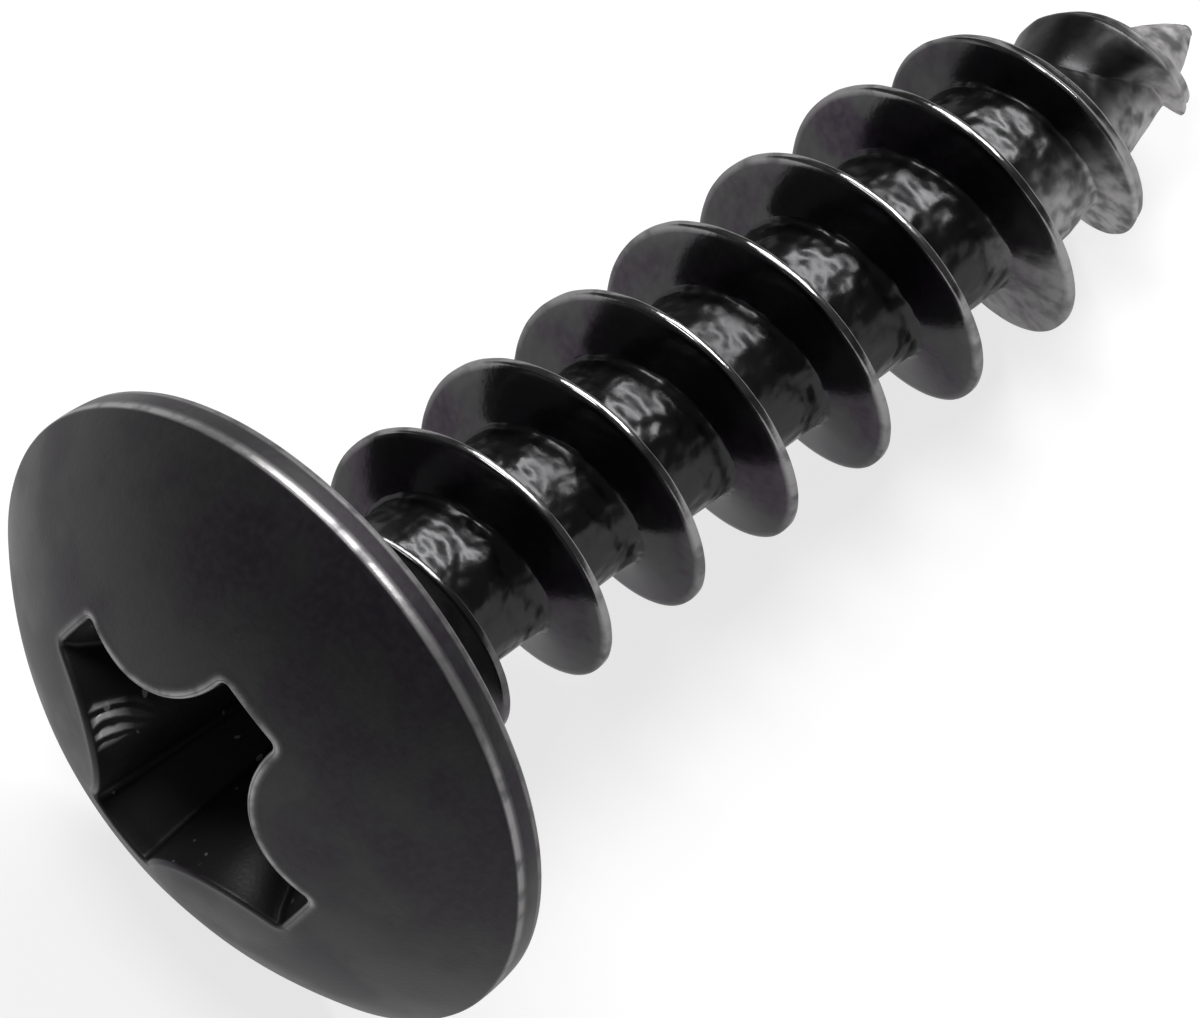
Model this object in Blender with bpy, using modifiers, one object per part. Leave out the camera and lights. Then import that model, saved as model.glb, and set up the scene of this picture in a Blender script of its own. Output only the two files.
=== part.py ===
"""A self-tapping wood screw with a low domed head and a cross recess, lying on its side.

The screw is modelled upright on its own axis: the bearing face of the head is at z = 0, the dome is above
it, and the thread and the point are below. The finished solid is then laid down as it comes to rest on a
table, on the rim of its head and one crest of its thread. Lengths are in metres and +Z is up.
"""
import math

import bmesh
import bpy

MM = 0.001

# Head
HEAD_RADIUS = 5.27 * MM
RIM_THICKNESS = 0.56 * MM
DOME_HEIGHT = 2.10 * MM
RIM_EDGE = 0.09 * MM
NECK_FILLET = 0.34 * MM
NECK_FILLET_SWEEP = math.radians(64)

# Shank and point
SHANK_LENGTH = 19.05 * MM
CORE_RADIUS = 1.43 * MM
CORE_TAPER = 4.0 * MM
CREST_TAPER = 4.36 * MM
POINT_POWER = 0.63

# Right-hand thread
PITCH = 1.96 * MM
THREAD_RADIUS = 2.40 * MM
CREST_WIDTH = 0.14 * MM
FLANK_WIDTH = 0.28 * MM
CREST_TURN = 0.045
THREAD_START = (0.30, 2.00)
THREAD_END = (9.30, 9.76)

# The flank on the head's side of the last turn lies low, as the rolling of the point leaves it: the turns
# over which it comes down and goes up again, and how far its foot moves towards the head
LOW_FLANK_START = (8.35, 8.75)
LOW_FLANK_END = (8.95, 9.15)
LOW_FLANK_REACH = 0.70 * MM

# Cross recess
OPENING_SPAN = 5.24 * MM
OPENING_HEIGHT = 2.20 * MM
WING_WIDTH = 1.22 * MM
WING_CORNER = 0.12 * MM
WING_DRAFT = math.radians(4.3)
WING_END_SLOPE = math.radians(30)
OPENING_FILLET = 1.85 * MM
FLOOR_FILLET = 0.30 * MM
FLOOR_HEIGHT = -0.25 * MM
FLOOR_POINT = 0.30 * MM
RECESS_TURN = math.radians(70)

# Fineness of the facets. The odd counts put a flat of each ring, and not a corner, on the floor side.
HEAD_SIDES = 71
TURN_STEPS = 47
ROOT_STEPS = 4
DOME_STEPS = 8
EDGE_STEPS = 2
NECK_STEPS = 3
FILLET_STEPS = 7
CORNER_STEPS = 2
MERGE = 0.001 * MM

# Depth that one solid is sunk into another, or stands clear of it, where a Boolean joins or cuts them
OVERLAP = 0.4 * MM


def clear_scene():
    for old in list(bpy.data.objects):
        bpy.data.objects.remove(old, do_unlink=True)


def new_collection(name):
    collection = bpy.data.collections.new(name)
    bpy.context.scene.collection.children.link(collection)
    return collection


def new_object(name, mesh, collection):
    item = bpy.data.objects.new(name, mesh)
    collection.objects.link(item)
    return item


def arc(centre, radius, first, last, steps):
    """Points of a circular arc in a plane, from one angle to another."""
    points = []
    for step in range(steps + 1):
        angle = first + (last - first) * step / steps
        points.append((centre[0] + radius * math.cos(angle), centre[1] + radius * math.sin(angle)))
    return points


def black_steel():
    """Dark satin finish of a blackened steel screw."""
    material = bpy.data.materials.new("black_steel")
    material.use_nodes = True
    shader = material.node_tree.nodes["Principled BSDF"]
    shader.inputs["Base Color"].default_value = (0.045, 0.043, 0.046, 1)
    shader.inputs["Metallic"].default_value = 0.8
    shader.inputs["Roughness"].default_value = 0.42
    return material


def dome_arc():
    """The dome from its top down to the rim: a low cap of a sphere, as (radius, height)."""
    sphere = (HEAD_RADIUS ** 2 + DOME_HEIGHT ** 2) / (2 * DOME_HEIGHT)
    centre = (0.0, RIM_THICKNESS + DOME_HEIGHT - sphere)
    edge_angle = math.acos((HEAD_RADIUS - RIM_EDGE) / sphere)
    return arc(centre, sphere, math.pi / 2, edge_angle, DOME_STEPS)


def rim_band():
    """The upright band round the head, with its two edges softened, as (radius, height)."""
    inner = HEAD_RADIUS - RIM_EDGE
    upper = arc((inner, RIM_THICKNESS - RIM_EDGE), RIM_EDGE, math.radians(45), 0, EDGE_STEPS)
    lower = arc((inner, RIM_EDGE), RIM_EDGE, 0, -math.pi / 2, EDGE_STEPS)
    return upper + lower


def neck_fillet():
    """The hollow corner under the head, run on into the core so that the two solids cross cleanly."""
    centre = (CORE_RADIUS + NECK_FILLET, -NECK_FILLET)
    hollow = arc(centre, NECK_FILLET, math.pi / 2, math.pi / 2 + NECK_FILLET_SWEEP, NECK_STEPS)
    end_radius, end_height = hollow[-1]
    run_on = OVERLAP / 2
    end_radius -= run_on * math.cos(NECK_FILLET_SWEEP)
    end_height -= run_on * math.sin(NECK_FILLET_SWEEP)
    return hollow + [(end_radius, end_height), (0.0, end_height)]


def turned_head(collection):
    """Dome, rim, bearing face and neck: one profile, from the top down its outer side, turned about Z."""
    profile = dome_arc() + rim_band() + neck_fillet()
    profile[0] = (0.0, profile[0][1])
    mesh = bpy.data.meshes.new("screw")
    edges = [(index, index + 1) for index in range(len(profile) - 1)]
    mesh.from_pydata([(radius, 0.0, height) for radius, height in profile], edges, [])
    head = new_object("screw", mesh, collection)
    turn = head.modifiers.new("turn", "SCREW")
    turn.axis = "Z"
    turn.angle = 2 * math.pi
    turn.steps = HEAD_SIDES
    turn.render_steps = HEAD_SIDES
    turn.use_merge_vertices = True
    turn.merge_threshold = MERGE
    turn.use_smooth_shade = True
    return head


def progress(value, first, last):
    """How far a value has come from a first to a last one, held between 0 and 1."""
    return min(max((value - first) / (last - first), 0.0), 1.0)


def point_share(depth, taper):
    """How much of the full radius is left at a depth below the head: all of it above the point's taper."""
    return (1 - progress(depth, SHANK_LENGTH - taper, SHANK_LENGTH)) ** POINT_POWER


def core_radius(depth):
    return CORE_RADIUS * point_share(depth, CORE_TAPER)


def crest_share(turn):
    """Share of the crest's full height: it grows out of the core under the head and fades at the tip."""
    grown = math.sin(progress(turn, *THREAD_START) * math.pi / 2) ** 0.75
    return grown * (1 - progress(turn, *THREAD_END))


def crest_depth(turn):
    return PITCH * (turn - CREST_TURN)


def crest_radius(turn, depth):
    core = core_radius(depth)
    full = THREAD_RADIUS * point_share(depth, CREST_TAPER)
    return core + (full - core) * crest_share(turn)


def foot_offset(turn):
    """Distance along the axis from the crest's middle to the foot of its flank, less on a low ridge."""
    depth = crest_depth(turn)
    height = (crest_radius(turn, depth) - core_radius(depth)) / (THREAD_RADIUS - CORE_RADIUS)
    return CREST_WIDTH / 2 + FLANK_WIDTH * (0.25 + 0.75 * height)


def head_side_offset(turn):
    """The same on the side towards the head, where the flank of the last turn lies low."""
    low = progress(turn, *LOW_FLANK_START) * (1 - progress(turn, *LOW_FLANK_END))
    return foot_offset(turn) + LOW_FLANK_REACH * low


def thread_section(turn):
    """One pitch of the thread's outline, from a crest down to the foot of the next, as (depth, radius)."""
    middle = crest_depth(turn)
    section = []
    for depth in (middle - CREST_WIDTH / 2, middle + CREST_WIDTH / 2):
        section.append((depth, crest_radius(turn, depth)))
    first = middle + foot_offset(turn)
    last = middle + PITCH - head_side_offset(turn + 1)
    for step in range(ROOT_STEPS + 1):
        depth = first + (last - first) * step / ROOT_STEPS
        section.append((depth, core_radius(depth)))
    return section


def threaded_shank(collection):
    """Core, thread and point as one loft of outlines that follow each other down a right-hand helix.

    Each outline is one pitch tall, so its end meets the start of the outline one turn later. What would lie
    above the shank's top or past its tip is held there, which closes the helix at both ends.
    """
    top, first_turn = -OVERLAP, -2
    last_turn = math.ceil(SHANK_LENGTH / PITCH) + 1
    form = bmesh.new()
    sections = []
    for step in range((last_turn - first_turn) * TURN_STEPS + 1):
        turn = first_turn + step / TURN_STEPS
        angle = -2 * math.pi * turn
        section = []
        for depth, radius in thread_section(turn):
            depth = min(max(depth, top), SHANK_LENGTH)
            radius = 0.0 if depth == SHANK_LENGTH else radius
            section.append(form.verts.new((radius * math.cos(angle), radius * math.sin(angle), -depth)))
        sections.append(section)
    for index in range(len(sections) - 1 - TURN_STEPS):
        here = sections[index] + [sections[index + TURN_STEPS][0]]
        after = sections[index + 1] + [sections[index + 1 + TURN_STEPS][0]]
        for row in range(len(here) - 1):
            form.faces.new((here[row], after[row], after[row + 1], here[row + 1]))
    for vertex in [vertex for vertex in form.verts if not vertex.link_faces]:
        form.verts.remove(vertex)
    bmesh.ops.remove_doubles(form, verts=form.verts, dist=MERGE)
    open_edges = [edge for edge in form.edges if edge.is_boundary]
    bmesh.ops.holes_fill(form, edges=open_edges, sides=0)
    bmesh.ops.recalc_face_normals(form, faces=form.faces)
    mesh = bpy.data.meshes.new("threaded_shank")
    form.to_mesh(mesh)
    form.free()
    mesh.shade_smooth()
    return new_object("threaded_shank", mesh, collection)


def recess_outline(height):
    """The cross at one height: four wings with small outer corners, and wide fillets between them."""
    rise = (height - FLOOR_HEIGHT) / (OPENING_HEIGHT - FLOOR_HEIGHT)
    half_span = OPENING_SPAN / 2 + (height - OPENING_HEIGHT) * math.tan(WING_END_SLOPE)
    half_width = WING_WIDTH / 2 + (height - OPENING_HEIGHT) * math.tan(WING_DRAFT)
    fillet = FLOOR_FILLET + (OPENING_FILLET - FLOOR_FILLET) * min(rise, 1.0)
    quarter_turn = math.pi / 2
    corner_a = (half_span - WING_CORNER, half_width - WING_CORNER)
    corner_b = (half_width - WING_CORNER, half_span - WING_CORNER)
    inner = (half_width + fillet, half_width + fillet)
    quarter = arc(corner_a, WING_CORNER, 0, quarter_turn, CORNER_STEPS)
    quarter += arc(inner, fillet, 3 * quarter_turn, 2 * quarter_turn, FILLET_STEPS)
    quarter += arc(corner_b, WING_CORNER, 0, quarter_turn, CORNER_STEPS)
    outline = []
    for wing in range(4):
        angle = RECESS_TURN + wing * quarter_turn
        cosine, sine = math.cos(angle), math.sin(angle)
        outline += [(x * cosine - y * sine, x * sine + y * cosine) for x, y in quarter]
    return outline


def recess_cutter(collection):
    """The space of the cross recess: a loft that narrows downwards, with a shallow point in its floor."""
    top = RIM_THICKNESS + DOME_HEIGHT + OVERLAP
    middle = (FLOOR_HEIGHT + OPENING_HEIGHT) / 2
    form = bmesh.new()
    rings = []
    for height in (top, OPENING_HEIGHT, middle, FLOOR_HEIGHT):
        rings.append([form.verts.new((x, y, height)) for x, y in recess_outline(height)])
    count = len(rings[0])
    for upper, lower in zip(rings, rings[1:]):
        for index in range(count):
            after = (index + 1) % count
            form.faces.new((upper[index], lower[index], lower[after], upper[after]))
    form.faces.new(rings[0])
    point = form.verts.new((0.0, 0.0, FLOOR_HEIGHT - FLOOR_POINT))
    for index in range(count):
        form.faces.new((rings[-1][index], point, rings[-1][(index + 1) % count]))
    bmesh.ops.recalc_face_normals(form, faces=form.faces)
    mesh = bpy.data.meshes.new("recess_cutter")
    form.to_mesh(mesh)
    form.free()
    return new_object("recess_cutter", mesh, collection)


def add_boolean(item, operation, other):
    """Joins another solid to an object, or cuts it away, and keeps that other solid as a hidden guide."""
    boolean = item.modifiers.new(operation.lower(), "BOOLEAN")
    boolean.operation = operation
    boolean.solver = "EXACT"
    boolean.object = other
    other.hide_render = True
    other.display_type = "WIRE"


def apply_modifiers(item):
    """Replaces an object's mesh by its finished form, shaded smooth between its sharp edges."""
    evaluated = item.evaluated_get(bpy.context.evaluated_depsgraph_get())
    finished = bpy.data.meshes.new_from_object(evaluated)
    item.modifiers.clear()
    old = item.data
    item.data = finished
    bpy.data.meshes.remove(old)
    finished.name = item.name
    finished.shade_smooth()
    finished.set_sharp_from_angle(angle=math.radians(35))


def rest_tilt():
    """Angle between the axis and the floor when the rim and one crest of the thread both touch the floor."""
    floor_side_crests = []
    for whole_turns in range(1, int(SHANK_LENGTH / PITCH)):
        turn = whole_turns + 0.5
        depth = crest_depth(turn)
        radius = crest_radius(turn, depth) * math.cos(math.pi / TURN_STEPS)
        floor_side_crests.append((depth, radius))
    slopes = []
    for rim_radius, rim_height in rim_band():
        reach = rim_radius * math.cos(math.pi / HEAD_SIDES)
        slopes.append(min((reach - radius) / (depth + rim_height) for depth, radius in floor_side_crests))
    return math.atan(max(slopes))


def lay_down(item):
    """Turns the upright screw onto its side over the origin, with its -X side down and its tip to +X."""
    item.rotation_euler = (0.0, rest_tilt() - math.pi / 2, 0.0)
    bpy.context.view_layer.update()
    corners = [item.matrix_world @ vertex.co for vertex in item.data.vertices]
    lowest = [min(corner[axis] for corner in corners) for axis in range(3)]
    highest = [max(corner[axis] for corner in corners) for axis in range(3)]
    item.location = (-(lowest[0] + highest[0]) / 2, -(lowest[1] + highest[1]) / 2, -lowest[2])


def build():
    clear_scene()
    parts = new_collection("wood_screw")
    guides = new_collection("guides")
    screw = turned_head(parts)
    add_boolean(screw, "UNION", threaded_shank(guides))
    add_boolean(screw, "DIFFERENCE", recess_cutter(guides))
    apply_modifiers(screw)
    screw.data.materials.clear()
    screw.data.materials.append(black_steel())
    lay_down(screw)


build()
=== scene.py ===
"""Looks of the self-tapping wood screw: one finely modelled piece of blackened steel on a white table.

The screw is modelled upright, as in the part's source: the bearing face of the head is at z = 0, the
dome is above it, and the thread and the point are below. It is then laid on its side where the CAD node
lies. Sizes of the screw are in millimetres, and everything else is in metres.
"""

import math

import bpy
import numpy as np
from mathutils import Matrix, Vector, noise


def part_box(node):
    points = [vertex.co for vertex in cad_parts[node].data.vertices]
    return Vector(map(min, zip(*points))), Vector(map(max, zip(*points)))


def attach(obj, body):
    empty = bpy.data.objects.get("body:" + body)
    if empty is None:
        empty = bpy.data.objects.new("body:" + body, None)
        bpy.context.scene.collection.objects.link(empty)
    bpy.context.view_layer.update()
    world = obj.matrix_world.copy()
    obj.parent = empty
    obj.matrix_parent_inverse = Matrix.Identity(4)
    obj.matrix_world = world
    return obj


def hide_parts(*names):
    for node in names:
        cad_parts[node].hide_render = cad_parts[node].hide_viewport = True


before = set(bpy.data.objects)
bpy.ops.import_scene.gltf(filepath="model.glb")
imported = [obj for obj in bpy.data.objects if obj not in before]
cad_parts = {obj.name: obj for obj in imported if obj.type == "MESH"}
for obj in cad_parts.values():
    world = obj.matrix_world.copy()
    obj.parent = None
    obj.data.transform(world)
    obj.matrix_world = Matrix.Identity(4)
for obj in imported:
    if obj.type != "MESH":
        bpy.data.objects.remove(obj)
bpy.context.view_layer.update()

MM = 0.001
FULL_TURN = 2 * math.pi

# Points round every ring of the head, and round every turn of the thread: four equal quarters
SIDES = 240
QUARTER = SIDES // 4

# Head
HEAD_RADIUS = 5.27
RIM_THICKNESS = 0.56
DOME_HEIGHT = 2.10
FRONT_EDGE = 0.11
REAR_EDGE = 0.05
RIM_LEAN = 0.045
NECK_FILLET = 0.34
NECK_BOTTOM = 0.36
DOME_RADIUS = (HEAD_RADIUS ** 2 + DOME_HEIGHT ** 2) / (2 * DOME_HEIGHT)
DOME_CENTRE = RIM_THICKNESS + DOME_HEIGHT - DOME_RADIUS
DOME_STEPS = 22
DOME_LAST_SHARES = (0.988, 1.0)
BEARING_FACE_RADII = (4.9, 4.4, 3.8, 3.2, 2.6, 2.1)
NECK_SHARES = (0.0, 0.2, 0.4, 0.6, 0.8, 1.0)

# Shank and point
SHANK_LENGTH = 19.05
CORE_RADIUS = 1.43
CORE_TAPER = 4.0
CREST_TAPER = 4.36
POINT_POWER = 0.63
POINT_CAP = 0.07
CAP_SHARES = (0.35, 0.65, 0.87)
CAP_BARENESS = 0.6

# Right-hand thread. It is laid out from some turns above the bearing face, where nothing of it shows.
TURNS_ABOVE = 2
PITCH = 1.96
THREAD_RADIUS = 2.40
CREST_WIDTH = 0.12
FLANK_WIDTH = 0.28
CREST_TURN = 0.045
THREAD_START = (0.30, 2.00)
THREAD_END = (9.30, 9.76)
CREST_GROWTH = 0.75
LOW_RIDGE_FLANK = 0.25

# Near the point the crest widens, with the seam that rolling leaves along it and a low place in it, and its
# front flank then lies down until the last turn is a drum. Four turns say where a change starts, is whole,
# starts to go, and is gone.
WIDE_CREST = (7.3, 8.2)
WIDE_CREST_EXTRA = 0.14
SEAM_DEPTH = 0.045
LOW_PLACE = (7.40, 7.62, 7.88, 8.12)
LOW_PLACE_DEPTH = 0.06
DRUM = (8.35, 8.75, 8.95, 9.15)
DRUM_REACH = 1.08
DRUM_HOLLOW = 0.7

# Cross recess
OPENING_SPAN = 5.24
OPENING_HEIGHT = 2.20
WING_WIDTH = 1.22
WING_CORNER = 0.12
WING_DRAFT = math.radians(4.3)
WING_END_SLOPE = math.radians(30)
OPENING_FILLET = 1.85
FLOOR_FILLET = 0.30
FLOOR_HEIGHT = -0.25
FLOOR_POINT = 0.30
FLOOR_EDGE_RISE = 0.02
FLOOR_EDGE_SHARE = 0.8
FLOOR_SHARES = (0.12, 0.3, 0.5, 0.7, 0.86, 0.96)
WALL_SHARES = (0.02, 0.08, 0.2, 0.34, 0.48, 0.62, 0.76, 0.88, 0.95)
OPENING_PASSES = 8
RECESS_TURN = math.radians(70)
LIP_RADIUS = 0.075
LIP_RISE = 0.018
LIP_SPREAD = 0.08

# Ribs that the punch left on one wall of the recess, in relief, with a painted highlight that colours them
# near
# white: the middle, half width and fading edge of their patch in degrees round the axis, the shares of the
# wall's height over which they appear, the direction across them, their pitch, the height from which they
# arch, how much they arch and waver, and their edges on the sine that makes them
RIBS_AT, RIBS_REACH, RIBS_FADE = 40.3, 7.6, 3.0
RIBS_UP_WALL = (0.74, 0.88)
RIBS_ALONG = (-0.83, -0.56, 0.0)
RIBS_PITCH = 0.24
RIBS_TOP = 2.2
RIBS_ARCH = 0.65
RIBS_WAVER = 0.16
RIB_EDGES = (-0.7, 0.6)

# Directions round the screw's own axis, as it lies: up, where the edges are worn bright, with a painted
# highlight, and down to one side, where the last turns are painted bare grey steel as a painted reflection
UPPER_SIDE = math.radians(342)
RIM_WEAR_AND_HIGHLIGHT_SIDE = UPPER_SIDE + math.radians(12)
CREST_WEAR_AND_HIGHLIGHT_SIDE = UPPER_SIDE + math.radians(8)
BARE_AND_REFLECTION_SIDE = math.radians(252)

# Wear of the head's edges, with its painted highlight, as pairs of a share of the way along each and how far
# it is worn and painted there. On the slope outside the lip, the distance from the recess's edge takes the
# place of the share.
LIP_WEAR_AND_HIGHLIGHT = ((0.0, 0.0), (0.2, 0.5), (0.4, 1.0), (0.6, 1.0), (0.8, 1.0), (1.0, 0.4))
LIP_SLOPE_WEAR_AND_HIGHLIGHT = ((0.09, 1.0), (0.12, 0.7), (0.16, 0.15), (0.21, 0.0), (0.28, 0.0))
LIP_FACING_SPREAD = 0.7
FRONT_EDGE_WEAR_AND_HIGHLIGHT = ((0.12, 0.0), (0.28, 0.0), (0.44, 0.2), (0.60, 0.6), (0.8, 1.0), (1.0, 1.0))
BAND_WEAR_AND_HIGHLIGHT = ((0.12, 0.9), (0.22, 0.3), (0.34, 0.0), (0.6, 0.0), (0.82, 0.0), (0.92, 0.6))
REAR_EDGE_WEAR_AND_HIGHLIGHT = ((0.0, 0.5), (0.25, 0.7), (0.5, 0.7), (0.75, 0.4), (1.0, 0.0))
RIM_LEAST_WEAR_AND_HIGHLIGHT = 0.12

# Wear of the thread with its painted highlight, and its bare grey with a painted reflection, by turns and by
# depths below the head
WEAR_AND_HIGHLIGHT_TURNS = (0.7, 1.9, 8.15, 8.6)
CREST_LEAST_WEAR_AND_HIGHLIGHT = 0.15
NECK_DEPTHS = (1.5, 2.6)
BARE_AND_REFLECTION_DEPTHS = (12.8, 16.0)
BARE_ALL_ROUND_DEPTHS = (17.2, 18.0)
BARE_AND_REFLECTION_SPREAD = (0.5, 0.95)
BARE_AND_REFLECTION_LEAST = 0.03

# Unevenness of forging and rolling: scales of its two noises, and how far they move the surface
COARSE_SCALE = 0.8
FINE_SCALE = 3.1
FINE_OFFSET = Vector((7, 0, 0))
COARSE_MOVE = 0.006
COARSE_MOVE_AT_POINT = 0.006
FINE_MOVE = 0.001
FINE_MOVE_ROLLED = 0.009
FINE_MOVE_WEAR_AND_HIGHLIGHT = 0.006
FINE_MOVE_AT_POINT = 0.02
UNEVEN_SHANK_DEPTHS = (0.2, 0.8)
UNEVEN_POINT_DEPTHS = (14.5, 18.5)
UNEVEN_HEAD_HEIGHTS = (0.3, 1.0)
STEADY_AXIS_RADIUS = 0.4
SMALLEST_RADIUS = 0.1

# Colours of the finish, with the painted shade, glints, highlights and reflection among them
CLEAR_BLACK = (0.060, 0.060, 0.060, 1)
TINTED_BLACK = (0.040, 0.029, 0.044, 1)
SPECKLE_GREY = (0.090, 0.088, 0.090, 1)
DEEP_BLACK = (0.0, 0.0, 0.0, 1)
ROOT_BLACK = (0.034, 0.034, 0.035, 1)
POINT_BLACK = (0.022, 0.022, 0.023, 1)
# Painted shade: the recess is coloured nearly black for the shade that falls in it
RECESS_SHADE_BLACK = (0.020, 0.020, 0.020, 1)
# Painted glints: grey specks in the recess stand for small reflections
SPECK_GLINT_GREY = (0.25, 0.25, 0.25, 1)
# Painted highlight: near white on the ribs' crests in the recess
RIB_HIGHLIGHT_GREY = (0.90, 0.90, 0.91, 1)
NECK_GREY = (0.15, 0.15, 0.155, 1)
# Bare steel near the point, also painted on one lower side of the last turns as a painted reflection
BARE_AND_REFLECTION_GREY = (0.50, 0.49, 0.49, 1)
# Grey of wear on the edges, also painted on their upper side as a painted highlight
WEAR_AND_HIGHLIGHT_GREY = (0.33, 0.325, 0.325, 1)
SPECULAR_TINT = (0.58, 0.58, 0.58, 1)

# How far the black is deepened on the thread, and how much more on the head; how far the speckles show
DEEPENED = 0.15
DEEPENED_ON_HEAD = 0.40
SPECKLED = 0.35

# Levels of the noises between which each change of colour runs, and its share at the lower level
CLOUD_EDGES = (0.42, 0.62)
SPECKLE_EDGES = (0.3, 0.75)
SPECK_EDGES = (0.78, 0.82)
NECK_EDGES, NECK_LOW = (0.3, 0.6), 0.4
BARE_AND_REFLECTION_EDGES, BARE_AND_REFLECTION_LOW = (0.3, 0.65), 0.3
WEAR_AND_HIGHLIGHT_EDGES, WEAR_AND_HIGHLIGHT_LOW = (0.3, 0.55), 0.35

# Share of the wear and painted highlight that turns the finish grey on the thread, and how much more of it on
# the head
WEAR_AND_HIGHLIGHT_THROUGH = 0.8
WEAR_AND_HIGHLIGHT_THROUGH_ON_HEAD = 0.2

# Roughness of the thread's flanks, and how much rougher the finish is elsewhere
FLANK_ROUGHNESS = 0.11
HEAD_ROUGHER = 0.28
ROOT_ROUGHER = 0.10
NECK_ROUGHER = 0.22
BARE_AND_REFLECTION_ROUGHER = 0.25
SPECKLE_ROUGHER = 0.06
POINT_ROUGHER = 0.16
CLOUD_ROUGHER, CLOUD_ROUGHER_EDGES = 0.07, (0.4, 0.65)
WEAR_AND_HIGHLIGHT_HEAD_ROUGHER = -0.15

# How metallic the thread is, and how much more metallic the finish is elsewhere
THREAD_METALLIC = 0.9
HEAD_MORE_METALLIC = -0.6
NECK_MORE_METALLIC = -0.3
WEAR_AND_HIGHLIGHT_MORE_METALLIC = 0.5

# Heights on the upright screw over which the finish changes: from the thread's to the head's, and the
# black near the point, which is deeper and duller
HEAD_HEIGHTS = (-0.4, 0.0)
DEEPER_HEIGHTS = (-14.0, -16.0)
DULLER_HEIGHTS = (-14.5, -16.5)

# Scales of the noises in the finish, per millimetre
CLOUD_SCALE = 0.55
PATCH_SCALE = 2.2
STREAK_SCALE = 3.0
MOTTLE_SCALE = 3.4
SPECK_SCALE = 5.0
SPECKLE_SCALE = 7.0
GRAIN_SCALE = 14.0
FINE_DETAIL = 3.0
MOTTLE_DETAIL = 0.4

# Heights of the relief in the finish, in millimetres
ROOT_RELIEF = 0.058
RIB_RELIEF = 0.03
BARE_AND_REFLECTION_RELIEF = 0.04
GRAIN_RELIEF = 0.0015
GRAIN_RELIEF_ON_HEAD = 0.002

# Table and surround: greys and glow of the table, and the grey above the white horizon
TABLE_HALF = 3.0
TABLE_GREY = (0.8, 0.8, 0.8, 1)
TABLE_SEEN_GREY = (0.3, 0.3, 0.3, 1)
TABLE_SEEN_GLOW = 0.76
TABLE_ROUGHNESS = 0.9
WHITE = (1, 1, 1, 1)
UPPER_GREY = (0.09, 0.09, 0.09, 1)
UPPER_GREY_FROM = 0.16

# How the screw lies, and how the photograph looks at it
REST_TILT = math.radians(11.0468)
VIEW_ELEVATION = math.radians(62.16)
VIEW_HEADING = math.radians(45.41)
VIEW_ROLL = math.radians(0.12)
VIEW_AIM = (-1.763 * MM, -0.190 * MM, 3.0 * MM)
VIEW_DISTANCE = 0.5903
VIEW_CLIP = (0.01, 10)
LENS = 1200.0
SENSOR = 36.0


def smooth(share):
    """Eases a share of 0 to 1 in and out."""
    share = np.clip(share, 0.0, 1.0)
    return share * share * (3 - 2 * share)


def progress(value, first, last):
    """How far a value has come from a first to a last one, held between 0 and 1."""
    return np.clip((value - first) / (last - first), 0.0, 1.0)


def between(value, span):
    """Eases from 0 up to 1 over the first two of four numbers, and down to 0 over the last two."""
    return smooth(progress(value, *span[:2])) * (1 - smooth(progress(value, *span[2:])))


def towards(angles, side):
    """1 on one side of the screw, 0 on the opposite one, and eased in between."""
    return 0.5 + 0.5 * np.cos(angles - side)


def one_sided(angles, side, least):
    """Share of the full wear and painted highlight: all of it on one side of the screw, and the least on the
    opposite one.
    """
    return least + (1 - least) * smooth(towards(angles, side))


def ring_angles():
    return RECESS_TURN + FULL_TURN * np.arange(SIDES) / SIDES


def round_ring(radius, height):
    angles = ring_angles()
    return np.stack([radius * np.cos(angles), radius * np.sin(angles), np.full(SIDES, height)], axis=1)


def dome_height(radius):
    return DOME_CENTRE + np.sqrt(DOME_RADIUS ** 2 - radius ** 2)


# The cross recess

def cross_outline(height):
    """The cross at a height, or at a height of its own for each point, as plan positions.

    Each quarter runs from the middle of one wing's end, round its corner, along the wide fillet between two
    wings, and round the next corner to the middle of the next wing's end.
    """
    height = np.broadcast_to(np.asarray(height, dtype=float), (SIDES,))
    rise = np.clip((height - FLOOR_HEIGHT) / (OPENING_HEIGHT - FLOOR_HEIGHT), 0.0, 1.0)
    span = OPENING_SPAN / 2 + (height - OPENING_HEIGHT) * math.tan(WING_END_SLOPE)
    width = WING_WIDTH / 2 + (height - OPENING_HEIGHT) * math.tan(WING_DRAFT)
    fillet = FLOOR_FILLET + (OPENING_FILLET - FLOOR_FILLET) * rise
    short, long = QUARTER // 10, QUARTER * 6 // 10
    step = np.tile(np.arange(QUARTER), 4)
    flat = width - WING_CORNER
    reach = span - WING_CORNER
    turn_a = (step - short) / short * math.pi / 2
    turn_b = 1.5 * math.pi - (step - 2 * short + 0.5) / long * math.pi / 2
    turn_c = (step - 2 * short - long + 1) / short * math.pi / 2
    pieces = [
        (step < short, span, flat * step / short),
        (step < 2 * short,
         reach + WING_CORNER * np.cos(turn_a), flat + WING_CORNER * np.sin(turn_a)),
        (step < 2 * short + long,
         width + fillet * (1 + np.cos(turn_b)), width + fillet * (1 + np.sin(turn_b))),
        (step < 3 * short + long,
         flat + WING_CORNER * np.cos(turn_c), reach + WING_CORNER * np.sin(turn_c)),
        (step >= 3 * short + long, flat * (QUARTER - step) / short, span),
    ]
    tests = [piece[0] for piece in pieces]
    x = np.select(tests, [piece[1] for piece in pieces])
    y = np.select(tests, [piece[2] for piece in pieces])
    angle = RECESS_TURN + np.repeat(np.arange(4), QUARTER) * math.pi / 2
    return np.stack([x * np.cos(angle) - y * np.sin(angle), x * np.sin(angle) + y * np.cos(angle)], axis=1)


def opening_heights():
    """Height of the dome at each point of the recess's opening."""
    height = np.full(SIDES, OPENING_HEIGHT)
    for _ in range(OPENING_PASSES):
        height = dome_height(np.linalg.norm(cross_outline(height), axis=1))
    return height


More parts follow.
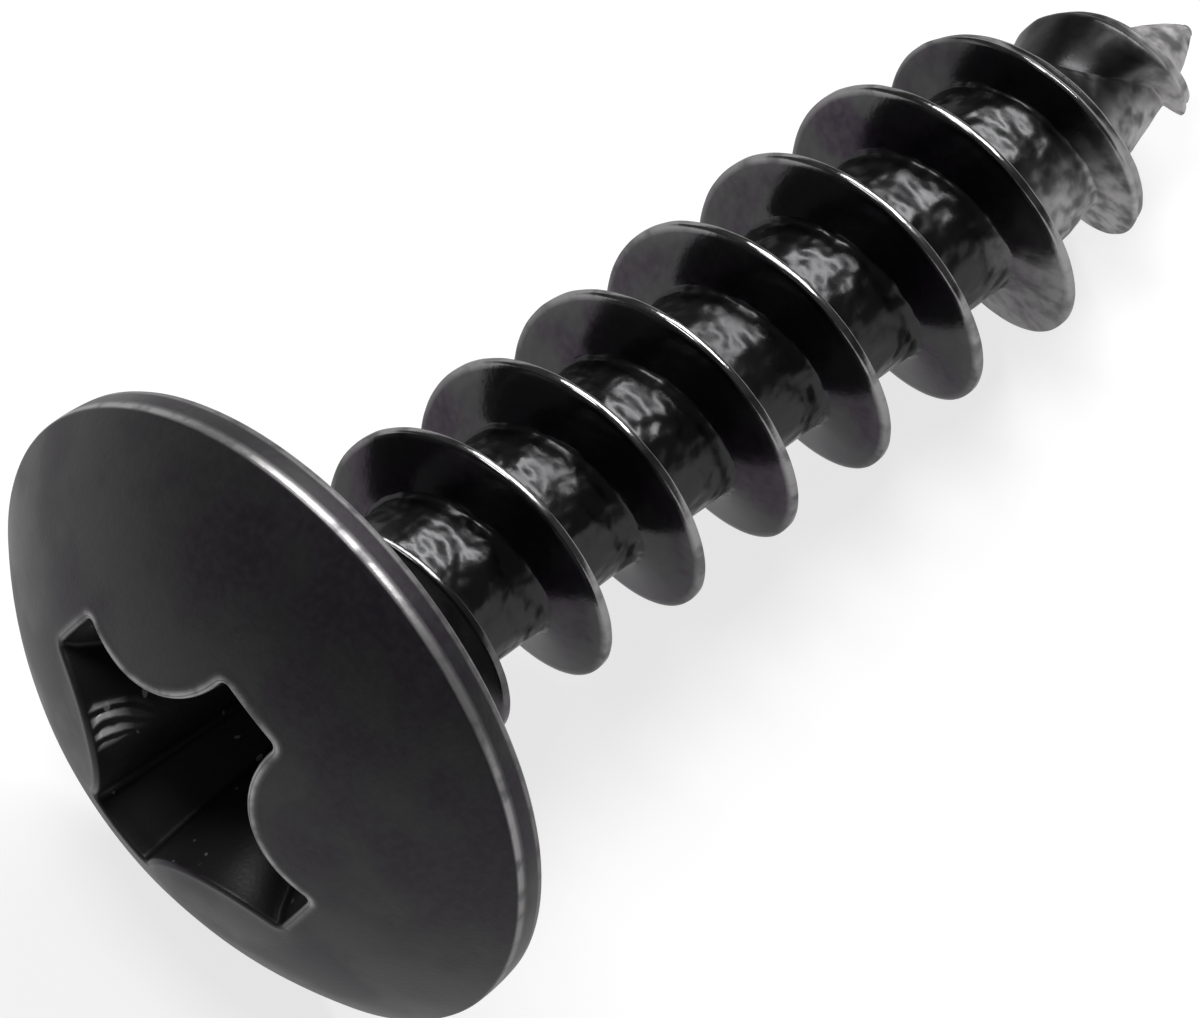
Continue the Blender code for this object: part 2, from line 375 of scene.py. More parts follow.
def outward(outline):
    """Plan direction that points away from the recess at each point of its outline."""
    along = np.roll(outline, -1, axis=0) - np.roll(outline, 1, axis=0)
    along /= np.linalg.norm(along, axis=1, keepdims=True)
    return np.stack([along[:, 1], -along[:, 0]], axis=1)


def recess_rings():
    """Rings of the recess from its floor up its walls, as pairs of the ring and its marks."""
    rings = []
    floor = cross_outline(FLOOR_HEIGHT)
    for share in FLOOR_SHARES:
        height = FLOOR_HEIGHT - FLOOR_POINT * (1 - share)
        height += FLOOR_EDGE_RISE * smooth((share - FLOOR_EDGE_SHARE) / (1 - FLOOR_EDGE_SHARE))
        rings.append((np.column_stack([floor * share, np.full(SIDES, height)]), {"recess": 1.0}))
    top = opening_heights()
    angle = (ring_angles() - RECESS_TURN) % FULL_TURN
    ribbed = smooth((RIBS_REACH - np.abs(np.degrees(angle) - RIBS_AT)) / RIBS_FADE)
    for share in WALL_SHARES:
        height = FLOOR_HEIGHT + (top - LIP_RADIUS - FLOOR_HEIGHT) * share
        marks = {"recess": 1.0, "ribbed": ribbed * smooth(progress(share, *RIBS_UP_WALL))}
        rings.append((np.column_stack([cross_outline(height), height]), marks))
    return rings


def lip_rings():
    """Rings over the rounded and slightly raised lip of the recess, onto the dome."""
    rings = []
    top = opening_heights()
    edge = cross_outline(top)
    away = outward(edge)
    upwards = np.array([math.cos(UPPER_SIDE), math.sin(UPPER_SIDE)])
    # Painted highlight: the lip is painted worn grey only where its edge faces the upper side
    facing = smooth(0.5 + (away @ upwards) / LIP_FACING_SPREAD)
    for share, wear_and_highlight in LIP_WEAR_AND_HIGHLIGHT:
        turn = share * math.pi / 2
        plan = edge + away * LIP_RADIUS * (1 - math.cos(turn))
        rise = LIP_RISE * share - LIP_RADIUS * (1 - math.sin(turn))
        height = dome_height(np.linalg.norm(plan, axis=1)) + rise
        marks = {"recess": 1.0 if share == 0 else 0.0, "wear_and_highlight": wear_and_highlight * facing}
        rings.append((np.column_stack([plan, height]), marks))
    for reach, wear_and_highlight in LIP_SLOPE_WEAR_AND_HIGHLIGHT:
        plan = edge + away * reach
        rise = LIP_RISE * math.exp(-((reach - LIP_RADIUS) / LIP_SPREAD) ** 2)
        ring = np.column_stack([plan, dome_height(np.linalg.norm(plan, axis=1)) + rise])
        rings.append((ring, {"wear_and_highlight": wear_and_highlight * facing}))
    return rings


# The head outside its recess

def front_edge_slope():
    """Angle above the plan at which the dome passes into the rounding of the rim's front edge."""
    return math.acos((HEAD_RADIUS - FRONT_EDGE) / (DOME_RADIUS - FRONT_EDGE))


def dome_rings(inner):
    """Rings that turn the cross's outline into the head's round one, over the dome."""
    inner_radius = np.linalg.norm(inner[:, :2], axis=1)
    inner_angle = np.unwrap(np.arctan2(inner[:, 1], inner[:, 0]))
    angles = ring_angles()
    inner_angle += FULL_TURN * np.round((angles[0] - inner_angle[0]) / FULL_TURN)
    last = DOME_RADIUS * math.cos(front_edge_slope())
    shares = [step / DOME_STEPS for step in range(1, DOME_STEPS)]
    rings = []
    for share in (*shares, *DOME_LAST_SHARES):
        radius = inner_radius + (last - inner_radius) * share
        angle = inner_angle + (angles - inner_angle) * smooth(share)
        plan = [radius * np.cos(angle), radius * np.sin(angle)]
        rings.append((np.stack([*plan, dome_height(radius)], axis=1), {}))
    return rings


def rim_and_neck_rings():
    """Rings down the rim's band, in under the head, and round the hollow corner onto the core."""
    rings = []
    # Painted highlight: the rim's edges are painted grey mostly on the upper side
    side = one_sided(ring_angles(), RIM_WEAR_AND_HIGHLIGHT_SIDE, RIM_LEAST_WEAR_AND_HIGHLIGHT)
    slope = front_edge_slope()
    middle = HEAD_RADIUS - FRONT_EDGE
    middle_height = DOME_CENTRE + (DOME_RADIUS - FRONT_EDGE) * math.sin(slope)
    for share, wear_and_highlight in FRONT_EDGE_WEAR_AND_HIGHLIGHT:
        turn = slope * (1 - share)
        radius = middle + FRONT_EDGE * math.cos(turn)
        rings.append((round_ring(radius, middle_height + FRONT_EDGE * math.sin(turn)), {"wear_and_highlight": wear_and_highlight * side}))
    for share, wear_and_highlight in BAND_WEAR_AND_HIGHLIGHT:
        height = middle_height + (REAR_EDGE - middle_height) * share
        rings.append((round_ring(HEAD_RADIUS - RIM_LEAN * share ** 2, height), {"wear_and_highlight": wear_and_highlight * side}))
    rear = HEAD_RADIUS - RIM_LEAN - REAR_EDGE
    for share, wear_and_highlight in REAR_EDGE_WEAR_AND_HIGHLIGHT:
        turn = share * math.pi / 2
        radius = rear + REAR_EDGE * math.cos(turn)
        rings.append((round_ring(radius, REAR_EDGE * (1 - math.sin(turn))), {"wear_and_highlight": wear_and_highlight * side}))
    for radius in BEARING_FACE_RADII:
        rings.append((round_ring(radius, 0.0), {}))
    for share in NECK_SHARES:
        turn = share * math.pi / 2
        radius = CORE_RADIUS + NECK_FILLET * (1 - math.sin(turn))
        rings.append((round_ring(radius, -NECK_FILLET * (1 - math.cos(turn))), {"neck": share}))
    rings.append((round_ring(CORE_RADIUS, -NECK_BOTTOM), {"neck": 1.0}))
    return rings


# The thread and the point

def point_share(depth, taper):
    """How much of the full radius is left at a depth below the head."""
    return (1 - progress(depth, SHANK_LENGTH - taper, SHANK_LENGTH)) ** POINT_POWER


def core_radius(depth):
    return CORE_RADIUS * point_share(depth, CORE_TAPER)


def crest_share(turn):
    """Share of the crest's full height: it grows out of the core under the head and fades at the tip."""
    grown = np.sin(progress(turn, *THREAD_START) * math.pi / 2) ** CREST_GROWTH
    return grown * (1 - progress(turn, *THREAD_END))


def crest_depth(turn):
    return PITCH * (turn - CREST_TURN)


def crest_radius(turn, depth):
    core = core_radius(depth)
    full = THREAD_RADIUS * point_share(depth, CREST_TAPER)
    return core + (full - core) * crest_share(turn) - LOW_PLACE_DEPTH * between(turn, LOW_PLACE)


def half_crest(turn):
    wide = smooth(progress(turn, *WIDE_CREST)) * (1 - progress(turn, *THREAD_END))
    return (CREST_WIDTH + WIDE_CREST_EXTRA * wide) / 2


def flank_reach(turn):
    """Distance along the axis from the crest's edge to the foot of its flank, less on a low ridge."""
    depth = crest_depth(turn)
    height = (crest_radius(turn, depth) - core_radius(depth)) / (THREAD_RADIUS - CORE_RADIUS)
    return FLANK_WIDTH * (LOW_RIDGE_FLANK + (1 - LOW_RIDGE_FLANK) * height)


def front_reach(turn):
    """The same on the side towards the head, where the last turn becomes a drum."""
    reach = flank_reach(turn)
    return reach + (DRUM_REACH - reach) * between(turn, DRUM)


# Places on half a ridge: share of the crest's half width, share of the flank's reach, height, and wear with
# its painted highlight
RIDGE_STATIONS = (
    (0.0, 0.0, 1.0, 1.0),
    (0.5, 0.0, 0.998, 1.0),
    (0.85, 0.0, 0.995, 1.0),
    (1.0, 0.04, 0.955, 0.9),
    (1.0, 0.12, 0.875, 0.1),
    (1.0, 0.32, 0.675, 0.0),
    (1.0, 0.55, 0.445, 0.0),
    (1.0, 0.78, 0.215, 0.0),
    (1.0, 0.92, 0.09, 0.0),
)
# Share of the way from one ridge's foot to the next one's, and height that the root's fillet has there
ROOT_STATIONS = (
    (0.0, 0.035), (0.05, 0.012), (0.13, 0.002), (0.3, 0.0), (0.5, 0.0),
    (0.7, 0.0), (0.87, 0.002), (0.95, 0.012), (1.0, 0.035),
)
STATIONS = 2 * len(RIDGE_STATIONS) - 1 + len(ROOT_STATIONS)
THREAD_VALUES = ("depth", "radius", "wear_and_highlight", "rolled", "neck", "bare_and_reflection")


def thread_columns(turns):
    """One pitch of thread at each of many turns, from a crest to just before the next.

    Returns the values of each station by their names, each as an array of turns by stations.
    """
    middle, after = crest_depth(turns), crest_depth(turns + 1)
    first = middle + half_crest(turns) + flank_reach(turns)
    last = after - half_crest(turns + 1) - front_reach(turns + 1)
    drum = between(turns + 1, DRUM)
    stations = []
    for wide, foot, height, wear_and_highlight in RIDGE_STATIONS:
        depth = middle + wide * half_crest(turns) + foot * flank_reach(turns)
        stations.append((turns, depth, np.full_like(turns, height), wear_and_highlight, wide == 0, 0.0))
    for share, height in ROOT_STATIONS:
        of_turn = turns + (share > 0.5)
        fade = 1 - drum if share > 0.5 else 1.0
        stations.append((of_turn, first + (last - first) * share, height * fade, 0.0, False, 1.0))
    for wide, foot, height, wear_and_highlight in RIDGE_STATIONS[:0:-1]:
        depth = after - wide * half_crest(turns + 1) - foot * front_reach(turns + 1)
        sloped = (1 - foot) * (1 - DRUM_HOLLOW * foot)
        height = height + (sloped - height) * drum * (foot > 0)
        stations.append((turns + 1, depth, height, wear_and_highlight, False, 0.0))
    # Painted highlight: the crests are painted grey mostly on the upper side
    side = one_sided(-FULL_TURN * turns, CREST_WEAR_AND_HIGHLIGHT_SIDE, CREST_LEAST_WEAR_AND_HIGHLIGHT)
    # Painted reflection: one lower side of the last turns is painted bare grey
    low_side = smooth(progress(towards(-FULL_TURN * turns, BARE_AND_REFLECTION_SIDE), *BARE_AND_REFLECTION_SPREAD))
    partly_bare_and_reflection = BARE_AND_REFLECTION_LEAST + (1 - BARE_AND_REFLECTION_LEAST) * low_side
    depths, radii, wear_and_highlight_values, rolled, neck, bare_and_reflection = [], [], [], [], [], []
    for turn, depth, height, wear_and_highlight, is_middle, is_root in stations:
        core = core_radius(depth)
        radius = core + (crest_radius(turn, depth) - core) * height
        if is_middle:
            radius = radius - SEAM_DEPTH * smooth(progress(turn, *WIDE_CREST)) * crest_share(turn)
        depths.append(depth)
        radii.append(radius)
        wear_and_highlight_values.append(wear_and_highlight * side * between(turn, WEAR_AND_HIGHLIGHT_TURNS))
        near_neck = 1 - smooth(progress(depth, *NECK_DEPTHS))
        near_point = smooth(progress(depth, *BARE_AND_REFLECTION_DEPTHS))
        at_point = smooth(progress(depth, *BARE_ALL_ROUND_DEPTHS))
        rolled.append(is_root * (1 - near_neck))
        neck.append(near_neck * (1 - wear_and_highlight))
        bare_and_reflection.append(near_point * (at_point + (1 - at_point) * partly_bare_and_reflection))
    values = (depths, radii, wear_and_highlight_values, rolled, neck, bare_and_reflection)
    return {name: np.stack(parts, axis=1) for name, parts in zip(THREAD_VALUES, values)}


# The whole mesh

MARKS = ("wear_and_highlight", "rolled", "recess", "ribbed", "neck", "bare_and_reflection")


class Surface:
    """Vertices, faces and the marks of each vertex, gathered ring by ring."""

    def __init__(self):
        self.places = []
        self.faces = []
        self.marks = {name: [] for name in MARKS}

    def add(self, places, marks):
        first = len(self.places)
        self.places.extend(tuple(place) for place in places)
        for name in MARKS:
            self.marks[name].extend(np.broadcast_to(marks.get(name, 0.0), (len(places),)).tolist())
        return list(range(first, first + len(places)))

    def face(self, *corners):
        kept = [corner for index, corner in enumerate(corners) if corner != corners[index - 1]]
        if len(set(kept)) > 2:
            self.faces.append(tuple(kept))

    def bridge(self, upper, lower):
        for index in range(SIDES):
            after = (index + 1) % SIDES
            self.face(upper[index], lower[index], lower[after], upper[after])


def add_head(surface):
    """Adds recess, dome, rim and neck, and returns the indices of the ring where the thread starts."""
    pole_height = FLOOR_HEIGHT - FLOOR_POINT - FLOOR_EDGE_RISE
    pole = surface.add([(0.0, 0.0, pole_height)], {"recess": 1.0})[0]
    rings = recess_rings() + lip_rings()
    rings += dome_rings(rings[-1][0]) + rim_and_neck_rings()
    placed = [surface.add(ring, marks) for ring, marks in rings]
    for index in range(SIDES):
        surface.face(pole, placed[0][index], placed[0][(index + 1) % SIDES])
    for upper, lower in zip(placed, placed[1:]):
        surface.bridge(upper, lower)
    return placed[-1]


def add_thread(surface, top_ring):
    """Adds the thread below a ring of the neck, and the rounded end of the point."""
    cap_depth = SHANK_LENGTH - POINT_CAP
    start = RECESS_TURN / FULL_TURN + TURNS_ABOVE
    count = math.ceil((cap_depth / PITCH + start + TURNS_ABOVE) * SIDES)
    steps = np.arange(count)
    angles = RECESS_TURN - FULL_TURN * steps / SIDES
    values = thread_columns(steps / SIDES - start)
    cap_marks = {"bare_and_reflection": CAP_BARENESS}
    cap_ring = surface.add(round_ring(core_radius(cap_depth), -cap_depth), cap_marks)
    columns = []
    for step in range(count):
        on_ring = -step % SIDES
        cosine, sine = math.cos(angles[step]), math.sin(angles[step])
        column = []
        for row in range(STATIONS):
            depth, radius = values["depth"][step, row], values["radius"][step, row]
            if depth <= NECK_BOTTOM:
                column.append(top_ring[on_ring])
            elif depth >= cap_depth:
                column.append(cap_ring[on_ring])
            else:
                marks = {name: values[name][step, row] for name in THREAD_VALUES[2:]}
                column += surface.add([(radius * cosine, radius * sine, -depth)], marks)
        columns.append(column)
    for step in range(count - 1 - SIDES):
        here = columns[step] + [columns[step + SIDES][0]]
        after = columns[step + 1] + [columns[step + 1 + SIDES][0]]
        for row in range(STATIONS):
            surface.face(here[row], after[row], after[row + 1], here[row + 1])
    above = cap_ring
    for share in CAP_SHARES:
        radius = core_radius(cap_depth) * math.sqrt(1 - share ** 2)
        below = surface.add(round_ring(radius, -cap_depth - POINT_CAP * share), cap_marks)
        surface.bridge(above, below)
        above = below
    tip = surface.add([(0.0, 0.0, -SHANK_LENGTH)], cap_marks)[0]
    for index in range(SIDES):
        surface.face(above[index], tip, above[(index + 1) % SIDES])


def roughen(places, rolled, wear_and_highlight):
    """Small unevenness of forging and rolling: least on the dome and the flanks, most near the point."""
    vectors = [Vector(place) for place in places]
    coarse_noise = np.array([noise.noise(vector * COARSE_SCALE) for vector in vectors])
    fine_noise = np.array([noise.noise(vector * FINE_SCALE + FINE_OFFSET) for vector in vectors])
    depth = -places[:, 2]
    near_point = smooth(progress(depth, *UNEVEN_POINT_DEPTHS))
    on_shank = smooth(progress(depth, *UNEVEN_SHANK_DEPTHS))
    coarse = COARSE_MOVE + COARSE_MOVE_AT_POINT * near_point
    fine = FINE_MOVE + FINE_MOVE_ROLLED * rolled + FINE_MOVE_WEAR_AND_HIGHLIGHT * wear_and_highlight + FINE_MOVE_AT_POINT * near_point
    radius = np.linalg.norm(places[:, :2], axis=1)
    off_axis = smooth(progress(radius, 0.0, STEADY_AXIS_RADIUS))
    move = (coarse * coarse_noise + on_shank * fine * fine_noise) * off_axis
    for axis in (0, 1):
        places[:, axis] += places[:, axis] / np.maximum(radius, SMALLEST_RADIUS) * move
    on_head = smooth(progress(places[:, 2], *UNEVEN_HEAD_HEIGHTS))
    places[:, 2] += on_head * coarse * coarse_noise
    return places


def laid_down(places):
    """Turns upright places onto the side, into the box of the CAD node.

    Returns them with the turn and the shift.
    """
    turn = Matrix.Rotation(REST_TILT - math.pi / 2, 3, "Y")
    turned = places @ np.array(turn).T
    lowest, highest = turned.min(axis=0), turned.max(axis=0)
    box_low, box_high = (np.array(corner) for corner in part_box("screw"))
    shift = (box_low + box_high - lowest - highest) / 2
    shift[2] = box_low[2] - lowest[2]
    return turned + shift, turn, shift


def make_screw():
    surface = Surface()
    add_thread(surface, add_head(surface))
    places = np.array(surface.places)
    places = roughen(places, np.array(surface.marks["rolled"]), np.array(surface.marks["wear_and_highlight"]))
    places, turn, shift = laid_down(places * MM)
    mesh = bpy.data.meshes.new("wood_screw")
    mesh.from_pydata(places.tolist(), [], surface.faces)
    mesh.validate()
    mesh.shade_smooth()
    for name in MARKS:
        mark = mesh.attributes.new(name, "FLOAT", "POINT")
        mark.data.foreach_set("value", surface.marks[name])
    item = bpy.data.objects.new("wood_screw", mesh)
    bpy.context.scene.collection.objects.link(item)
    mesh.materials.append(blackened_steel(turn, shift))
    return item


# Material

class Nodes:
    """Short ways to add the nodes of a material."""

    def __init__(self, material):
        material.use_nodes = True
        self.tree = material.node_tree
        self.shader = self.tree.nodes["Principled BSDF"]

    def link(self, source, target):
        """Links an output to an input, or sets the input to a plain value."""
        if hasattr(source, "links"):
            self.tree.links.new(source, target)
        else:
            target.default_value = source

    def mark(self, name):
        node = self.tree.nodes.new("ShaderNodeAttribute")
        node.attribute_name = name
        return node.outputs["Fac"]

    def math(self, operation, *values):
        node = self.tree.nodes.new("ShaderNodeMath")
        node.operation = operation
        for index, value in enumerate(values):
            self.link(value, node.inputs[index])
        return node.outputs[0]

    def spread(self, value, first, last, low=0.0, high=1.0):
        """Eases a value from low at first to high at last."""
        node = self.tree.nodes.new("ShaderNodeMapRange")
        node.interpolation_type = "SMOOTHSTEP"
        for index, number in enumerate((value, first, last, low, high)):
            self.link(number, node.inputs[index])
        return node.outputs[0]

    def grain(self, place, scale, detail=2.0):
        node = self.tree.nodes.new("ShaderNodeTexNoise")
        self.link(place, node.inputs["Vector"])
        node.inputs["Scale"].default_value = scale
        node.inputs["Detail"].default_value = detail
        return node.outputs["Fac"]

    def wave(self, place, along, pitch, shift):
        """A sine of -1 to 1 that repeats along a direction, where shift moves it back."""
        node = self.tree.nodes.new("ShaderNodeVectorMath")
        node.operation = "DOT_PRODUCT"
        self.link(place, node.inputs[0])
        node.inputs[1].default_value = along
        moved = self.math("SUBTRACT", node.outputs["Value"], shift)
        return self.math("SINE", self.math("MULTIPLY", moved, FULL_TURN / pitch))

    def mix(self, share, first, second):
        """Mixes two colours."""
        node = self.tree.nodes.new("ShaderNodeMix")
        node.data_type = "RGBA"
        self.link(share, node.inputs["Factor"])
        self.link(first, node.inputs[6])
        self.link(second, node.inputs[7])
        return node.outputs[2]


def upright_place(nodes, turn, shift):
    """Position on the upright screw, in millimetres, and its height."""
    place = nodes.tree.nodes.new("ShaderNodeTexCoord")
    back = nodes.tree.nodes.new("ShaderNodeMapping")
    back.vector_type = "TEXTURE"
    back.inputs["Location"].default_value = shift
    back.inputs["Rotation"].default_value = turn.to_euler()
    back.inputs["Scale"].default_value = (MM, MM, MM)
    nodes.link(place.outputs["Object"], back.inputs["Vector"])
    split = nodes.tree.nodes.new("ShaderNodeSeparateXYZ")
    nodes.link(back.outputs[0], split.inputs[0])
    return back.outputs[0], split.outputs["Z"]


def finish_colour(nodes, place, height, on_head, marks, noises):
    """Colour of the finish with its painted shade, glints, highlights and reflection, and how far it is worn
    off or painted as a highlight.
    """
    wear_and_highlight, rolled, recess, ribbed, neck, bare_and_reflection = marks
    cloud, speckle, streak, rib = noises
    black = nodes.mix(nodes.spread(cloud, *CLOUD_EDGES), CLEAR_BLACK, TINTED_BLACK)
    black = nodes.mix(nodes.spread(speckle, *SPECKLE_EDGES, 0.0, SPECKLED), black, SPECKLE_GREY)
    deepened = nodes.math("MULTIPLY_ADD", on_head, DEEPENED_ON_HEAD, DEEPENED)
    black = nodes.mix(deepened, black, DEEP_BLACK)
    black = nodes.mix(rolled, black, ROOT_BLACK)
    black = nodes.mix(nodes.spread(height, *DEEPER_HEIGHTS), black, POINT_BLACK)
    # Painted shade: the recess is coloured darker than the rest of the black
    black = nodes.mix(recess, black, RECESS_SHADE_BLACK)
    # Painted glints: lighter specks scattered in the recess
    speck_glint = nodes.spread(nodes.grain(place, SPECK_SCALE, 0.0), *SPECK_EDGES)
    black = nodes.mix(nodes.math("MULTIPLY", speck_glint, recess), black, SPECK_GLINT_GREY)
    # Painted highlight: the ribs' crests turn near white
    black = nodes.mix(nodes.math("MULTIPLY", rib, ribbed), black, RIB_HIGHLIGHT_GREY)
    scuffed = nodes.math("MULTIPLY", neck, nodes.spread(streak, *NECK_EDGES, NECK_LOW, 1.0))
    black = nodes.mix(scuffed, black, NECK_GREY)
    # Bare steel near the point, and a painted reflection on one lower side of the last turns
    grey = nodes.math("MULTIPLY", bare_and_reflection, nodes.spread(streak, *BARE_AND_REFLECTION_EDGES, BARE_AND_REFLECTION_LOW, 1.0))
    black = nodes.mix(grey, black, BARE_AND_REFLECTION_GREY)
    # Wear and painted highlight: edges turn grey where marked, most on the upper side
    patchy = nodes.spread(nodes.grain(place, PATCH_SCALE, FINE_DETAIL), *WEAR_AND_HIGHLIGHT_EDGES, WEAR_AND_HIGHLIGHT_LOW, 1.0)
    bared_and_highlight = nodes.math("MULTIPLY", wear_and_highlight, patchy)
    through = nodes.math("MULTIPLY_ADD", on_head, WEAR_AND_HIGHLIGHT_THROUGH_ON_HEAD, WEAR_AND_HIGHLIGHT_THROUGH)
    bared_and_highlight = nodes.math("MULTIPLY", bared_and_highlight, through)
    return nodes.mix(bared_and_highlight, black, WEAR_AND_HIGHLIGHT_GREY), bared_and_highlight


def blackened_steel(turn, shift):
    """Black finish: satin on the head, glossy on the flanks, mottled in the roots, worn grey at the edges.

    It covers the head like a lacquer and is thin and metallic on the thread. Painted shade darkens the
    recess, painted glints and highlights lighten its specks, its ribs and the edges on the upper side, and a
    painted reflection lightens one lower side of the last turns. Marks of the mesh say where it is worn or
    painted lighter, rolled, ribbed or gone.
    """
    material = bpy.data.materials.new("blackened_steel")
    nodes = Nodes(material)
    place, height = upright_place(nodes, turn, shift)
    marks = [nodes.mark(name) for name in MARKS]
    wear_and_highlight, rolled, _, ribbed, neck, bare_and_reflection = marks
    on_head = nodes.spread(height, *HEAD_HEIGHTS)

    cloud = nodes.grain(place, CLOUD_SCALE, FINE_DETAIL)
    speckle = nodes.grain(place, SPECKLE_SCALE, FINE_DETAIL)
    streak = nodes.grain(place, STREAK_SCALE)
    depth = nodes.math("SUBTRACT", RIBS_TOP, height)
    arch = nodes.math("MULTIPLY", nodes.math("MULTIPLY", depth, depth), RIBS_ARCH)
    arch = nodes.math("MULTIPLY_ADD", streak, RIBS_WAVER, arch)
    rib = nodes.spread(nodes.wave(place, RIBS_ALONG, RIBS_PITCH, arch), *RIB_EDGES)
    noises = (cloud, speckle, streak, rib)
    colour, bared_and_highlight = finish_colour(nodes, place, height, on_head, marks, noises)
    nodes.link(colour, nodes.shader.inputs["Base Color"])

    satin = nodes.math("MULTIPLY_ADD", on_head, HEAD_ROUGHER, FLANK_ROUGHNESS)
    rougher_marks = (
        (rolled, ROOT_ROUGHER), (neck, NECK_ROUGHER), (bare_and_reflection, BARE_AND_REFLECTION_ROUGHER), (speckle, SPECKLE_ROUGHER))
    for mark, rougher in rougher_marks:
        satin = nodes.math("MULTIPLY_ADD", mark, rougher, satin)
    without_wear_and_highlight = nodes.math("SUBTRACT", 1.0, wear_and_highlight)
    at_point = nodes.spread(height, *DULLER_HEIGHTS, 0.0, POINT_ROUGHER)
    satin = nodes.math("ADD", satin, nodes.math("MULTIPLY", at_point, without_wear_and_highlight))
    satin = nodes.math("ADD", satin, nodes.spread(cloud, *CLOUD_ROUGHER_EDGES, 0.0, CLOUD_ROUGHER))
    head_wear_and_highlight = nodes.math("MULTIPLY", bared_and_highlight, on_head)
    satin = nodes.math("MULTIPLY_ADD", head_wear_and_highlight, WEAR_AND_HIGHLIGHT_HEAD_ROUGHER, satin)
    nodes.link(satin, nodes.shader.inputs["Roughness"])

    metal = nodes.math("MULTIPLY_ADD", on_head, HEAD_MORE_METALLIC, THREAD_METALLIC)
    for mark, more in ((neck, NECK_MORE_METALLIC), (bared_and_highlight, WEAR_AND_HIGHLIGHT_MORE_METALLIC)):
        metal = nodes.math("MULTIPLY_ADD", mark, more, metal)
    nodes.link(metal, nodes.shader.inputs["Metallic"])
    nodes.shader.inputs["Specular Tint"].default_value = SPECULAR_TINT

    mottle = nodes.math("SUBTRACT", nodes.grain(place, MOTTLE_SCALE, MOTTLE_DETAIL), 0.5)
    grain = nodes.grain(place, GRAIN_SCALE)
    grain_height = nodes.math("MULTIPLY_ADD", on_head, GRAIN_RELIEF_ON_HEAD, GRAIN_RELIEF)
    relief = nodes.math("MULTIPLY", nodes.math("MULTIPLY", mottle, rolled), ROOT_RELIEF)
    relief = nodes.math("MULTIPLY_ADD", rib, nodes.math("MULTIPLY", ribbed, RIB_RELIEF), relief)
    relief = nodes.math("MULTIPLY_ADD", grain, grain_height, relief)
    relief = nodes.math("MULTIPLY_ADD", mottle, nodes.math("MULTIPLY", bare_and_reflection, BARE_AND_REFLECTION_RELIEF), relief)
    bump = nodes.tree.nodes.new("ShaderNodeBump")
    bump.inputs["Distance"].default_value = MM
    nodes.link(relief, bump.inputs["Height"])
    nodes.link(bump.outputs[0], nodes.shader.inputs["Normal"])
    return material


# Table, light and camera

def make_floor():
    """A white table, lightened where it is seen or reflected, so that its shadow stays soft."""
    mesh = bpy.data.meshes.new("table_top")
    corners = [(x * TABLE_HALF, y * TABLE_HALF, 0) for x, y in ((-1, -1), (1, -1), (1, 1), (-1, 1))]
    mesh.from_pydata(corners, [], [(0, 1, 2, 3)])
    floor = bpy.data.objects.new("table_top", mesh)
    bpy.context.scene.collection.objects.link(floor)
    material = bpy.data.materials.new("white_table")
    nodes = Nodes(material)
    rays = nodes.tree.nodes.new("ShaderNodeLightPath")
    seen = nodes.math("MAXIMUM", rays.outputs["Is Camera Ray"], rays.outputs["Is Glossy Ray"])
    seen = nodes.math("MAXIMUM", seen, rays.outputs["Is Transmission Ray"])
    shader = nodes.shader.inputs
    nodes.link(nodes.mix(seen, TABLE_GREY, TABLE_SEEN_GREY), shader["Base Color"])
    shader["Roughness"].default_value = TABLE_ROUGHNESS
    shader["Specular IOR Level"].default_value = 0.0
    shader["Emission Color"].default_value = WHITE
    nodes.link(nodes.math("MULTIPLY", seen, TABLE_SEEN_GLOW), shader["Emission Strength"])
    mesh.materials.append(material)


def make_world():
    """A surround that is white near the horizon and dark grey higher up, as in an open-topped light tent."""
    world = bpy.data.worlds.new("studio")
    bpy.context.scene.world = world
    world.use_nodes = True
    nodes, links = world.node_tree.nodes, world.node_tree.links
    place = nodes.new("ShaderNodeTexCoord")
    split = nodes.new("ShaderNodeSeparateXYZ")
    ramp = nodes.new("ShaderNodeValToRGB")
    links.new(place.outputs["Generated"], split.inputs[0])
    links.new(split.outputs["Z"], ramp.inputs[0])
    links.new(ramp.outputs["Color"], nodes["Background"].inputs["Color"])
    for stop, at, colour in zip(ramp.color_ramp.elements, (0.0, UPPER_GREY_FROM), (WHITE, UPPER_GREY)):
        stop.position = at
        stop.color = colour


def view_direction():
    """From the screw to the camera."""
    along_table = -math.cos(VIEW_ELEVATION)
    return Vector((
        along_table * math.cos(VIEW_HEADING), along_table * math.sin(VIEW_HEADING), math.sin(VIEW_ELEVATION)))


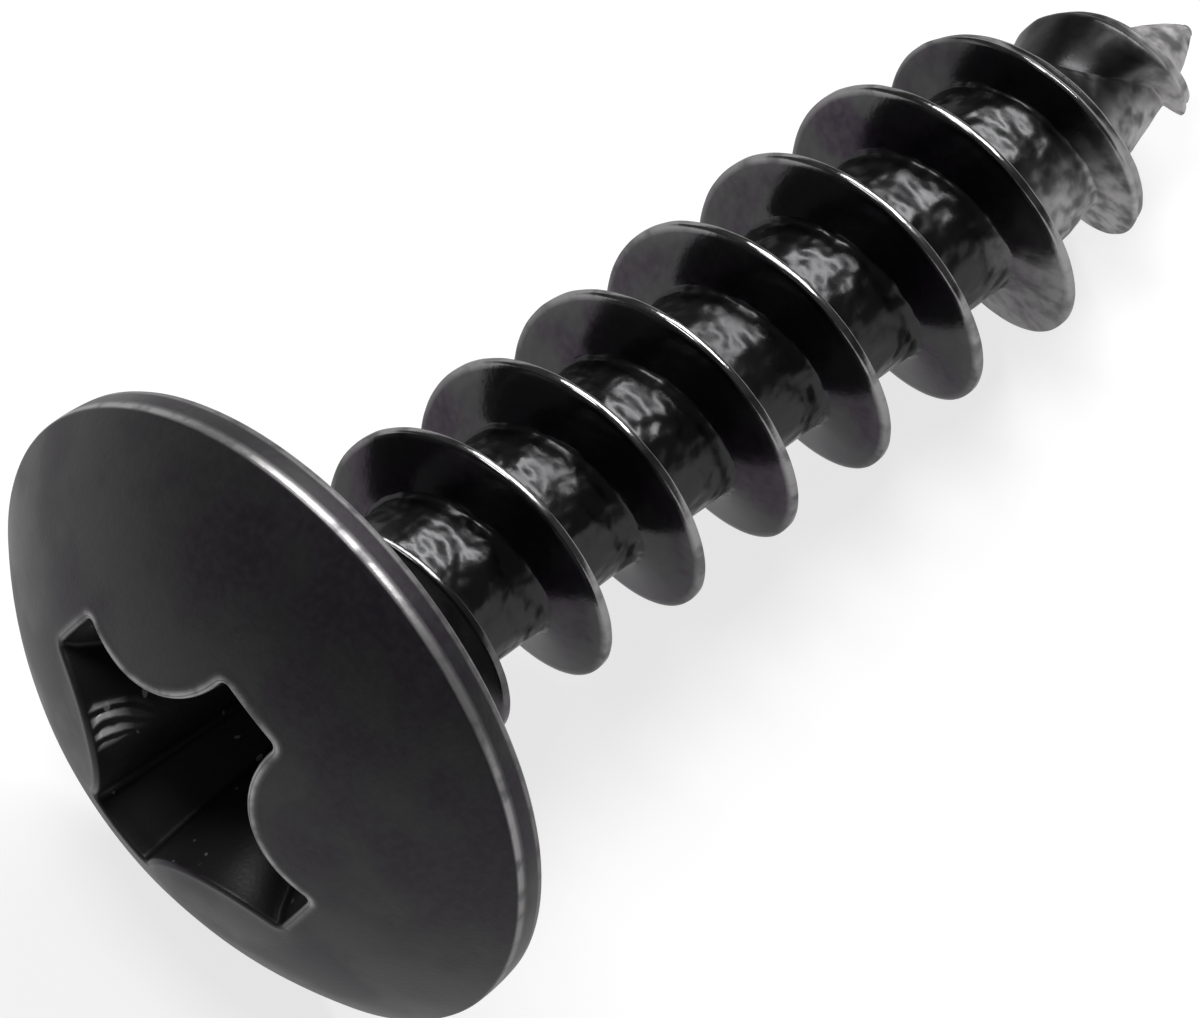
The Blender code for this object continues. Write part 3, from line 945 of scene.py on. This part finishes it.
def softbox(name, round_axis, to_head, distance, across, along, level):
    """A rectangular lamp that faces the screw, with one pair of sides across the screw and one along it.

    Its place is an angle round the screw's axis from the camera's side, to the left in the picture, and an
    angle towards the head. Level is the light that it gives to a surface facing it.
    """
    head = Vector((-math.cos(REST_TILT), 0, math.sin(REST_TILT)))
    near = view_direction()
    near = (near - near.dot(head) * head).normalized()
    left = head.cross(near)
    outwards = near * math.cos(round_axis) + left * math.sin(round_axis)
    direction = outwards * math.cos(to_head) + head * math.sin(to_head)
    side = left * math.cos(round_axis) - near * math.sin(round_axis)
    lamp = bpy.data.lights.new(name, "AREA")
    lamp.shape = "RECTANGLE"
    lamp.size = across
    lamp.size_y = along
    lamp.energy = level * math.pi ** 2 * distance ** 2
    item = bpy.data.objects.new(name, lamp)
    bpy.context.scene.collection.objects.link(item)
    turn = Matrix((side, direction.cross(side), direction)).transposed()
    item.matrix_world = Matrix.Translation(direction * distance) @ turn.to_4x4()


def make_camera():
    """The photograph's view, with a lens so long that the screw has almost no perspective."""
    forward = -view_direction()
    right = Vector((math.sin(VIEW_HEADING), -math.cos(VIEW_HEADING), 0))
    up = right.cross(forward)
    camera = bpy.data.cameras.new("photo_view")
    camera.lens = LENS
    camera.sensor_width = SENSOR
    camera.clip_start, camera.clip_end = VIEW_CLIP
    item = bpy.data.objects.new("photo_view", camera)
    bpy.context.scene.collection.objects.link(item)
    turn = Matrix((right, up, -forward)).transposed() @ Matrix.Rotation(VIEW_ROLL, 3, "Z")
    item.matrix_world = Matrix.Translation(Vector(VIEW_AIM) - forward * VIEW_DISTANCE) @ turn.to_4x4()
    bpy.context.scene.camera = item


screw = make_screw()
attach(screw, "root")
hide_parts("screw")
make_floor()
make_world()
softbox(
    "key_softbox", round_axis=math.radians(36), to_head=math.radians(11),
    distance=0.30, across=0.10, along=0.10, level=0.38)
softbox(
    "strip_softbox", round_axis=math.radians(35), to_head=math.radians(-29),
    distance=0.30, across=0.28, along=0.045, level=0.80)
make_camera()
bpy.context.scene.view_settings.view_transform = "Standard"
